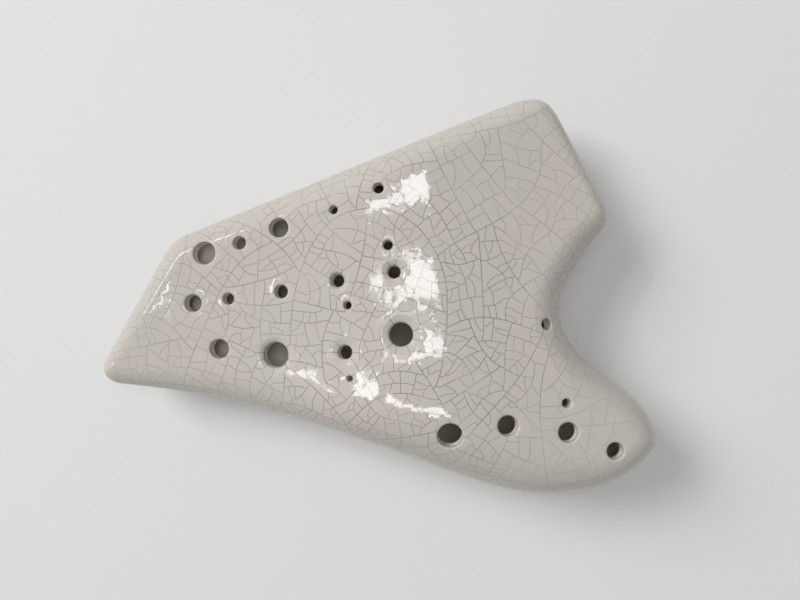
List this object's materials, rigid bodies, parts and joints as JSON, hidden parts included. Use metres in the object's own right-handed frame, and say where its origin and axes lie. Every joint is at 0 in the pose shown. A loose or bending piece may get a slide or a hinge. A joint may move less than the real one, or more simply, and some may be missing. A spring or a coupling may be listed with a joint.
{
  "type": "triple ocarina",
  "caption": "Ceramic flute with a flat tapered body, finger holes on the front, a slanted mouthpiece and three inner chambers.",
  "frame": {"origin": "middle of the plan's bounding box, on the flat rest of the back shell", "axes": "+X towards the lobe and the mouthpiece, along the longest extent; +Z out of the front with the finger holes, along the shortest extent; the instrument lies on its back"},
  "size_m": [0.2066, 0.1482, 0.0434],
  "materials": {
    "crackle_glaze": "glossy, with a fine crackle",
    "bisque": "unglazed, matt"
  },
  "bodies": {
    "root": {"front_shell": "crackle_glaze", "back_shell": "crackle_glaze", "divider_low_middle": "bisque", "divider_middle_high": "bisque", "windway_block_high": "bisque", "windway_block_middle": "bisque", "windway_block_low": "bisque"}
  },
  "joints": []
}
